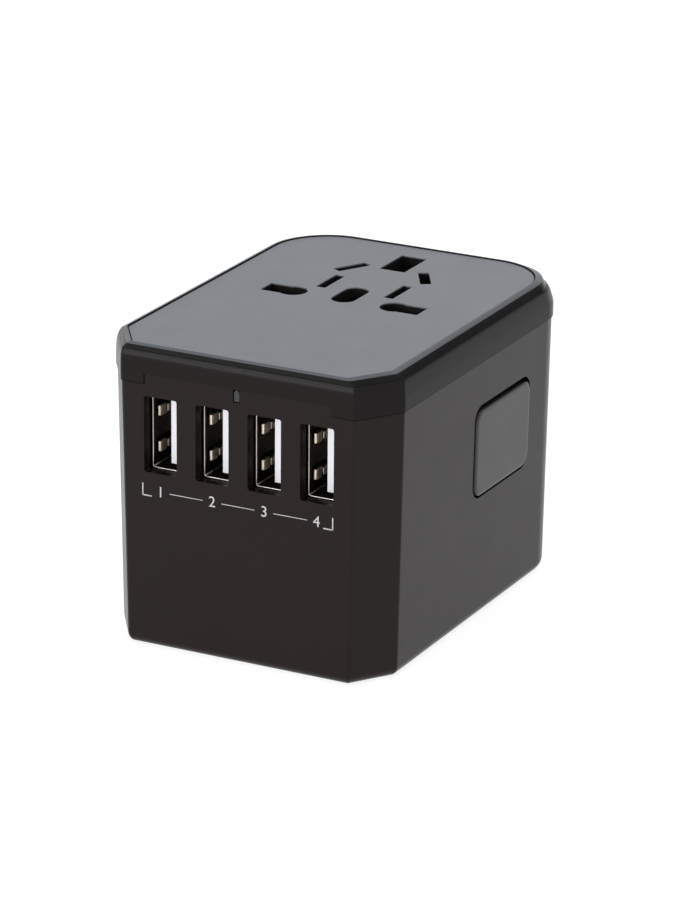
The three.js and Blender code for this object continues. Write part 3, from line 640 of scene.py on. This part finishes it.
def colour_rim(cover):
    """The rim's face is painted paler, a painted highlight; the band under it is smooth dark plastic,
    painted darker still as painted shade from the groove under the rim; the rest is grained.
    """
    for material in (COVER_PLASTIC, POLISHED_BAND_PAINTED_SHADE, RIM_PAINTED_HIGHLIGHT):
        cover.data.materials.append(material)
    for polygon in cover.data.polygons:
        x, y, z = polygon.center / MM
        on_skin = abs(x) > SKIN_X or abs(y) > SKIN_Y
        # Painted highlight: the rim's upward faces get the pale rim colour.
        if z > RIM_EDGE and polygon.normal.z > 0.5:
            polygon.material_index = 2
        # Painted shade: the band between the rim and the neck gets the dark band colour.
        elif on_skin and NECK_LOW < z < RIM_EDGE:
            polygon.material_index = 1


# The socket's holes: the middle, width, length and corner radius of each one.
EARTH_HOLE = {"x": 0, "y": 24.3, "width": 4.7, "length": 8.7, "radius": 0.25}
CENTRE_HOLE = {"x": 0, "y": 4.5, "width": 4.2, "length": 8.7, "radius": 2.08}
AMERICAN_SLOT = {"x": 6.35, "y": 9.7, "width": 1.7, "length": 7.5, "radius": 0.15}
AUSTRALIAN_SLOT = {"x": 6.86, "y": 18.6, "width": 1.85, "length": 6.4, "radius": 0.15}
AUSTRALIAN_ANGLE = math.pi / 6
LINE_HOLE = {"y": 2.1, "outer": 14.6, "centre": 9.45, "radius": 2.45, "height": 4.15}


def hole_outline(hole, side, grow, steps=3):
    width, length = hole["width"] + grow, hole["length"] + grow
    return rectangle(side * hole["x"], hole["y"], width, length, hole["radius"], steps)


def socket_outlines(grow=0.0):
    """Outlines of the socket's holes, made wider and longer by grow."""
    outlines = [hole_outline(EARTH_HOLE, 1, grow), hole_outline(CENTRE_HOLE, 1, grow, 10)]
    for side in (-1, 1):
        outlines.append(key_outline(side, grow))
        outlines.append(hole_outline(AMERICAN_SLOT, side, grow))
        slot = hole_outline(AUSTRALIAN_SLOT, side, grow)
        middle = (side * AUSTRALIAN_SLOT["x"], AUSTRALIAN_SLOT["y"])
        outlines.append(turned(slot, side * AUSTRALIAN_ANGLE, middle))
    return outlines


def key_outline(side, grow):
    """A British line hole whose inner end is round for a European pin."""
    y, centre = LINE_HOLE["y"], LINE_HOLE["centre"]
    radius, outer = LINE_HOLE["radius"] + grow / 2, LINE_HOLE["outer"] + grow / 2
    height = LINE_HOLE["height"] + grow
    start = math.asin(height / 2 / radius)
    steps = 20
    arc = [start + (2 * math.pi - 2 * start) * k / steps for k in range(steps + 1)]
    points = [(centre + radius * math.cos(a), y + radius * math.sin(a)) for a in arc]
    points += [(outer, y - height / 2), (outer, y + height / 2)]
    return points if side > 0 else [(-px, py) for px, py in reversed(points)]


def make_panel():
    levels = [(0, PANEL_SEAT + 0.01), (0, PANEL_TOP - 0.12), (0.03, PANEL_TOP - 0.04), (0.12, PANEL_TOP)]
    panel = loft_object("socket_face", [ring(casing_outline(PANEL_SIZE, inset), z) for inset, z in levels])
    carve(panel, [prism("cut", outline, *THROUGH_PANEL) for outline in socket_outlines()])
    soften(panel, 0.06)
    attach(panel, "casing", "panel", "socket_panel")


# ---------------------------------------------------------------- small visible pieces

# The button's sections, each an inset and the x where it lies, and the flange that keeps it in.
BUTTON_LEVELS = ((0, 23.2), (0, 26.0), (0.08, 26.28), (0.3, 26.42), (0.8, 26.5))
FLANGE_MARGIN = 1.2
FLANGE_X = (22.8, 23.5)


def make_button():
    y, z, length, height, radius = (BUTTON[key] for key in ("y", "z", "length", "height", "radius"))
    corners = box_corners(y, z, length, height, radius)
    rings = [ring(rounded_outline(corners, inset), x) for inset, x in BUTTON_LEVELS]
    button = across_x(loft_object("button_cap", rings))
    lean(button)
    flange = rectangle(y, z, length + 2 * FLANGE_MARGIN, height + 2 * FLANGE_MARGIN, radius, 6)
    carve(button, [across_x(prism("flange", flange, *FLANGE_X))], "UNION")
    soften(button, 0.12)
    attach(button, "button", "button", "release_button")


def lean(obj):
    """Leans a piece's outer face with the draft of the housing's side."""
    for vertex in obj.data.vertices:
        vertex.co.x -= math.copysign(DRAFT * (SEAM * MM - vertex.co.z), vertex.co.x)


SHELL_WALL = 0.3
SPRING_WINDOW = {"depth": 5.6, "length": 8.4, "height": 2.5}   # cut in a shell's wall behind a leaf


def make_usb_port(index, x):
    """A folded metal shell with its two spring leaves, its tongue and the fold along its lower corner."""
    low, high = box_mm(f"usb_shell_{index}")
    width, height = high[0] - low[0], high[2] - low[2]
    corners = rectangle(x, USB_Z, width, height, 0.6, 4)
    inner = rectangle(x, USB_Z, width - 2 * SHELL_WALL, height - 2 * SHELL_WALL, 0.35, 4)
    lip = rectangle(x, USB_Z, width - 0.36, height - 0.36, 0.45, 4)
    rings = [ring(corners, high[1]), ring(corners, low[1] + 0.1), ring(lip, low[1])]
    rings += [ring(inner, low[1] + 0.1), ring(inner, high[1] - 0.4)]
    shell = across_y(loft_object(f"usb_socket_{index}", rings))
    wall = x - width / 2 + SHELL_WALL
    windows = []
    for z in SPRING_HEIGHTS:
        y = low[1] + SPRING_WINDOW["depth"]
        window = rectangle(y, z, SPRING_WINDOW["length"], SPRING_WINDOW["height"], 0.3)
        windows.append(across_x(prism("cut", window, wall - 1, wall + 0.5)))
    carve(shell, windows)
    darken_inside(shell, x, width, low[1])
    soften(shell, 0.05)
    attach(shell, "casing", "steel", f"usb_shell_{index}")
    for place, z in zip(("low", "high"), SPRING_HEIGHTS):
        make_spring(f"usb_spring_{index}_{place}", wall, low[1], z)
    make_tongue(index, x)
    floor = USB_Z - height / 2 + SHELL_WALL
    fold = rectangle(wall + 0.08, floor + 0.08, 0.2, 0.2, 0.09, 4)
    crease = across_y(prism(f"usb_fold_{index}", fold, low[1] + 0.3, low[1] + 6.5))
    attach(crease, "casing", "steel")


def darken_inside(shell, x, width, mouth):
    """The socket's mouth is bright steel; its inside is painted dark, a painted shade."""
    shell.data.materials.append(MATERIALS["steel"])
    shell.data.materials.append(STEEL_PAINTED_SHADE)
    for polygon in shell.data.polygons:
        centre = polygon.center / MM
        inside = abs(centre.x - x) < width / 2 - 0.2 and centre.y > mouth + 0.12
        polygon.material_index = 1 if inside else 0


def make_spring(name, wall, mouth, z):
    """A leaf that comes forward from its root in the socket's wall, with a rounded pad at its end."""
    thickness, half = 0.2, 0.8
    path = [(9.4, -0.1), (7.5, 0.05), (5.5, 0.45), (4.2, 0.7), (3.2, 0.72)]
    rings = []
    for depth, reach in path:
        x, y = wall + reach, mouth + depth
        back = x - thickness
        rings.append([(x, y, z - half), (x, y, z + half), (back, y, z + half), (back, y, z - half)])
    leaf = loft_object(name, rings)
    # The leaf is painted dark: painted shade deep inside the socket.
    leaf.data.materials.append(STEEL_PAINTED_SHADE)
    soften(leaf, 0.04)
    attach(leaf, "casing", "steel")
    make_pad(name + "_tip", wall + 0.35, mouth + 2.1, z, 1)
    make_pad(name + "_bend", wall + 0.55, mouth + 4.2, z - 0.1, 0.7)


def make_pad(name, x, y, z, scale):
    """A pressed bump of a spring leaf that faces the mouth of the socket."""
    shape = [(-1.15, 0.0), (-1.05, 0.4), (-0.6, 0.55), (0.7, 0.5), (1.1, 0.25), (1.2, 0.0)]
    rings = []
    for side, trim in ((-0.9, 0.1), (-0.8, 0), (0.8, 0), (0.9, 0.1)):
        rings.append([(x + rise * (1 - trim) * scale, y + along * (1 - trim) * scale, z + side * scale)
                      for along, rise in shape])
    pad = loft_object(name, rings)
    soften(pad, 0.05)
    attach(pad, "casing", "steel", material=SPRING_METAL)


TONGUE = {"left": 0.25, "right": 2.05, "half_height": 5.55}
CONTACT_PITCH = 2.5


def make_tongue(index, x):
    """A white tongue with four contact strips along its left face."""
    low, high = box_mm(f"usb_tongue_{index}")
    x0, x1 = x + TONGUE["left"], x + TONGUE["right"]
    z0, z1 = USB_Z - TONGUE["half_height"], USB_Z + TONGUE["half_height"]
    corners = [(x0, z0, 0.12, 3), (x1, z0, 0.12, 3), (x1, z1, 0.6, 6), (x0, z1, 0.25, 4)]
    rings = [ring(rounded_outline(corners, inset), low[1] + back) for inset, back in ((0.08, 0), (0, 0.15))]
    rings.append(ring(rounded_outline(corners), high[1]))
    tongue = across_y(loft_object(f"usb_insert_{index}", rings))
    root = across_y(prism("root", rectangle(x, USB_Z, 4.4, 11.8, 0.3), high[1] - 2, high[1]))
    carve(tongue, [root], "UNION")
    soften(tongue, 0.06)
    attach(tongue, "casing", "white_plastic", f"usb_tongue_{index}")
    for k in range(4):
        z = USB_Z + (k - 1.5) * CONTACT_PITCH
        outline = rectangle(x + 0.14, z, 0.1, 1.1, 0.04, 2)
        strip = across_y(prism(f"usb_contact_{index}_{k + 1}", outline, low[1] + 0.8, high[1] - 2.2))
        soften(strip, 0)
        attach(strip, "casing", "brass")


def make_light_pipe():
    corners = [(PIPE_X - 0.5, PIPE_LOW[2], 0.12, 3), (PIPE_X + 0.5, PIPE_LOW[2], 0.12, 3),
               (PIPE_X + 0.5, PIPE_HIGH[2], 0.45, 5), (PIPE_X - 0.5, PIPE_HIGH[2], 0.45, 5)]
    pipe = across_y(prism("indicator_window", rounded_outline(corners), PIPE_LOW[1] + 0.1, PIPE_HIGH[1]))
    soften(pipe, 0.06)
    attach(pipe, "casing", "clear_plastic", "light_pipe", material=SMOKED)


# ---------------------------------------------------------------- print

PRINT_Y = FRONT - 0.012
PRINT_DEPTH = 0.03
BRACKET = {"half": 17.4, "low": 26.4, "rise": 2.2, "line": 0.22}


def print_bar(name, x0, x1, z0, z1):
    outline = rectangle((x0 + x1) / 2, (z0 + z1) / 2, x1 - x0, z1 - z0, 0.05, 2)
    bar = across_y(prism(name, outline, PRINT_Y, PRINT_Y + PRINT_DEPTH))
    attach(bar, "casing", "casing", material=PRINT)


def make_print():
    """A bracket under the four ports, and their numbers."""
    half, low, rise, line = (BRACKET[key] for key in ("half", "low", "rise", "line"))
    for side, word in ((-1, "left"), (1, "right")):
        x = side * half
        print_bar(f"bracket_{word}_end", x - line / 2, x + line / 2, low, low + rise)
        inner = x - side * 1.7
        print_bar(f"bracket_{word}_foot", min(x, inner), max(x, inner), low, low + line)
    for number, x in enumerate(USB_CENTRES, 1):
        make_number(number, x, low + 0.2)
    for number, (x0, x1) in enumerate(zip(USB_CENTRES, USB_CENTRES[1:]), 1):
        print_bar(f"link_line_{number}", x0 + 1.7, x1 - 1.7, low + 0.95, low + 0.95 + 0.6 * line)


def make_number(number, x, z):
    data = bpy.data.curves.new(f"port_number_{number}", "FONT")
    data.body = str(number)
    data.size = 2.6 * MM
    data.align_x = "CENTER"
    data.extrude = PRINT_DEPTH / 2 * MM
    text = bpy.data.objects.new(f"port_digit_{number}", data)
    bpy.context.scene.collection.objects.link(text)
    text.location = (x * MM, (PRINT_Y + PRINT_DEPTH / 2) * MM, z * MM)
    text.rotation_euler = (math.pi / 2, 0, 0)
    mesh = evaluated_mesh(text)
    mesh.transform(text.matrix_world)
    digit = bpy.data.objects.new(f"port_number_{number}", mesh)
    bpy.data.objects.remove(text)
    bpy.context.scene.collection.objects.link(digit)
    digit.data.materials.clear()
    attach(digit, "casing", "casing", material=PRINT)


# ---------------------------------------------------------------- plug face, pins and knobs

# A knob's sections, each an inset and the x where it lies, and its pad, stem and ribs.
KNOB_LEVELS = ((0, -25.2), (0, -25.9), (0.12, -26.12), (0.4, -26.2))
KNOB_PAD = (6.4, 6.0, 0.8)
KNOB_STEM, STEM_X = (2.8, 2.4, 0.3), (-25.4, -20.5)
KNOB_RIB, RIB_X, RIB_PITCH = (5, 0.7, 0.34, 4), (-26.38, -26.0), 1.6


def make_knob(node):
    low, high = box_mm(node)
    y, z = (low[1] + high[1]) / 2, (low[2] + high[2]) / 2
    corners = box_corners(y, z, *KNOB_PAD)
    rings = [ring(rounded_outline(corners, inset), x) for inset, x in KNOB_LEVELS]
    knob = across_x(loft_object(node + "_cap", rings))
    tools = [across_x(prism("stem", rectangle(y, z, *KNOB_STEM), *STEM_X))]
    for k in (-1, 0, 1):
        tools.append(across_x(prism("rib", rectangle(y, z + RIB_PITCH * k, *KNOB_RIB), *RIB_X)))
    carve(knob, tools, "UNION")
    soften(knob, 0.06)
    attach(knob, node.split("_")[0] + "_plug", "button", node)


# Apertures of the plug face: x and y of the middle, width, length and corner radius.
UK_EARTH_APERTURE = (0, 24.93, 4.7, 8.7, 0.3)
UK_APERTURE = (11.1, 2.7, 7, 4.7, 0.3)
EU_APERTURE = (9.5, 10.2, 5.5, 5.5, 2.74)
US_APERTURE = (6.35, 17.1, 2.2, 7, 0.3)
BLADE_TURNS = (0, 10, 20, 30)     # degrees; together the cuts make the fan that a blade turns in
SCREW_APERTURE = (3.8, 3.8, 1.89, 8)
THROUGH_PLATE = (-1, 4)
SCREW_SEAT = (-1, 1.5)


def make_base_plate():
    levels = [(RIM_INSET + 0.35, 0.15), (RIM_INSET + 0.2, 0.3), (RIM_INSET + 0.2, PLATE_HIGH[2])]
    rings = [drafted_ring(RIM_INSET + 0.4, 0)] + [drafted_ring(*level) for level in levels]
    plate = loft_object("plug_face_plate", rings)
    outlines = [rectangle(*UK_EARTH_APERTURE)]
    for side in (-1, 1):
        for (x, *rest), steps in ((UK_APERTURE, 3), (EU_APERTURE, 10)):
            outlines.append(rectangle(side * x, *rest, steps))
    x, y, *blade_size = US_APERTURE
    for side in (-1, 1):
        blade = rectangle(side * x, y, *blade_size)
        for degrees in BLADE_TURNS:
            outlines.append(turned(blade, side * math.radians(degrees), (side * x, y)))
    tools = [prism("cut", outline, *THROUGH_PLATE) for outline in outlines]
    for number in range(1, 5):
        _, _, x, y = middle_of(f"base_screw_{number}")
        tools.append(prism("cut", rectangle(x, y, *SCREW_APERTURE), *SCREW_SEAT))
    carve(plate, tools)
    soften(plate, 0.12)
    attach(plate, "casing", "casing", "base_plate")


CARRIAGE_GAP = 0.3
UK_NECK = (3, 2)
EU_NECK = 1.5
BLADE_PARTS = {"shank": 1.8, "rivet": 2.4, "foot": 0.9, "head": 0.8, "hole": 1.5, "hole_rise": 4.2}
CROSS = (1.9, 0.42)


def middle_of(node):
    """A node's lowest and highest corners, and the x and y of its middle."""
    low, high = box_mm(node)
    return low, high, (low[0] + high[0]) / 2, (low[1] + high[1]) / 2


def circle(x, y, radius, steps=32):
    turns = [2 * math.pi * k / steps for k in range(steps)]
    return [(x + radius * math.cos(a), y + radius * math.sin(a)) for a in turns]


def make_uk_pin(node):
    """A flat pin with an eased tip, and the narrow shank that holds it in its carriage."""
    low, high, x, y = middle_of(node)
    shoulder = box_mm("uk_carriage")[0][2] - CARRIAGE_GAP
    corners = box_corners(x, y, high[0] - low[0], high[1] - low[1], 0.45)
    tip = ((0.95, 0), (0.55, 0.18), (0.2, 0.6), (0.04, 1.2), (0, 1.8))
    rings = [ring(rounded_outline(corners, inset), low[2] + rise) for inset, rise in tip]
    rings.append(ring(rounded_outline(corners), shoulder))
    pin = loft_object(f"{node}_metal", rings)
    carve(pin, [prism("neck", rectangle(x, y, *UK_NECK, 0.2), shoulder - 0.5, high[2])], "UNION")
    soften(pin, 0.08)
    attach(pin, "uk_plug", "brass", node)


def make_eu_pin(node):
    """A round pin with a domed tip, and its shank."""
    low, high, x, y = middle_of(node)
    radius = (high[0] - low[0]) / 2
    shoulder = box_mm("eu_carriage")[0][2] - CARRIAGE_GAP
    dome = [math.radians(a) for a in range(10, 91, 10)]
    rings = [ring(circle(x, y, radius * math.sin(a)), low[2] + 1.7 * (1 - math.cos(a))) for a in dome]
    rings.append(ring(circle(x, y, radius), shoulder - 0.12))
    rings += [ring(circle(x, y, radius - 0.12), shoulder), ring(circle(x, y, EU_NECK), shoulder)]
    rings.append(ring(circle(x, y, EU_NECK), high[2]))
    pin = loft_object(f"{node}_metal", rings)
    soften(pin, 0.05)
    attach(pin, "eu_plug", "nickel", node)


def make_us_blade(node, body):
    """A flat blade with a hole near its tip, riveted through its carriage."""
    low, high, x, y = middle_of(node)
    carriage_low, carriage_high = box_mm("us_carriage")
    top, head = carriage_low[2] - CARRIAGE_GAP, carriage_high[2] + CARRIAGE_GAP
    corners = box_corners(x, y, 1.5, high[1] - low[1], 0.2)
    tip = ((0.5, 0), (0.28, 0.35), (0.06, 0.9), (0, 1.3))
    rings = [ring(rounded_outline(corners, inset), low[2] + rise) for inset, rise in tip]
    rings.append(ring(rounded_outline(corners), top - 0.02))
    blade = loft_object(f"{node}_metal", rings)
    rivet, shank = circle(x, y, BLADE_PARTS["rivet"]), circle(x, y, BLADE_PARTS["shank"])
    parts = [prism("foot", rivet, top - BLADE_PARTS["foot"], top)]
    parts.append(prism("shank", shank, top - 0.4, head + 0.3))
    parts.append(prism("head", rivet, head, head + BLADE_PARTS["head"]))
    carve(blade, parts, "UNION")
    hole = circle(y, low[2] + BLADE_PARTS["hole_rise"], BLADE_PARTS["hole"])
    carve(blade, [across_x(prism("cut", hole, x - 2, x + 2))])
    soften(blade, 0.07)
    attach(blade, body, "brass", node)


def make_base_screw(node):
    """A pan-head screw with a cross recess, its head facing down."""
    low, high, x, y = middle_of(node)
    radius = (high[0] - low[0]) / 2
    head = ((radius - 0.35, 0), (radius - 0.1, 0.12), (radius, 0.35), (radius, 0.9))
    shank = ((0.8, 0.9), (0.8, 8.2), (0.3, 8.7))
    rings = [ring(circle(x, y, reach, 24), low[2] + rise) for reach, rise in head + shank]
    screw = loft_object(f"{node}_metal", rings)
    long_side, short_side = CROSS
    arms = [rectangle(x, y, long_side, short_side, 0.05, 1), rectangle(x, y, short_side, long_side, 0.05, 1)]
    carve(screw, [prism("cut", arm, low[2] - 0.2, low[2] + 0.55) for arm in arms])
    soften(screw, 0.05)
    attach(screw, "casing", "steel", node)


def make_pins_and_screws():
    for place in ("line", "neutral", "earth"):
        make_uk_pin(f"uk_{place}_pin")
    for place in ("line", "neutral"):
        make_eu_pin(f"eu_{place}_pin")
        make_us_blade(f"us_{place}_blade", f"{place}_blade")
    for number in range(1, 5):
        make_base_screw(f"base_screw_{number}")


SPRING_WIRE = 0.16       # radius


def make_coil(name, centre, axis, coil_radius, length, turns):
    """A close-wound compression spring: its wire follows a helix along the axis, 0 for x or 1 for y."""
    steps, sides, wire = 20, 6, SPRING_WIRE
    rings = []
    for k in range(turns * steps + 1):
        share = k / (turns * steps)
        angle = 2 * math.pi * turns * share
        along = wire + (length - 2 * wire) * share - length / 2
        section = []
        for side in range(sides):
            turn = 2 * math.pi * side / sides
            reach = coil_radius - wire + wire * math.cos(turn)
            section.append((reach * math.cos(angle), reach * math.sin(angle), along + wire * math.sin(turn)))
        rings.append(section)
    coil = loft_object(name, rings)
    if axis == 0:
        across_x(coil)
    else:
        across_y(coil)
    coil.data.transform(Matrix.Translation(Vector(centre) * MM))
    return coil


def make_springs():
    low, high = box_mm("button_spring")
    middle = [(a + b) / 2 for a, b in zip(low, high)]
    coil = make_coil("button_coil", middle, 0, (high[1] - low[1]) / 2, high[0] - low[0], 7)
    attach(coil, "casing", "steel", "button_spring")
    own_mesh(coil)
    low, high = box_mm("shutter_spring")
    middle = [(a + b) / 2 for a, b in zip(low, high)]
    coil = make_coil("shutter_coil", middle, 1, (high[0] - low[0]) / 2, high[1] - low[1], 10)
    attach(coil, "casing", "steel", "shutter_spring")
    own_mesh(coil)


def finish_cad_node(node, slot):
    """A CAD node that stays gets its slot's material."""
    materials = frame["nodes"][node].data.materials
    materials.clear()
    materials.append(MATERIALS[slot])


make_camera()
make_studio()
for subpart in frame["record"]["subparts"]:
    finish_cad_node(subpart["node"], subpart["material_slot"])
make_housing()
make_cover()
make_panel()
make_button()
for number, centre in enumerate(USB_CENTRES, 1):
    make_usb_port(number, centre)
make_light_pipe()
make_print()
make_base_plate()
make_springs()
make_pins_and_screws()
for knob_node in KNOB_NODES:
    make_knob(knob_node)
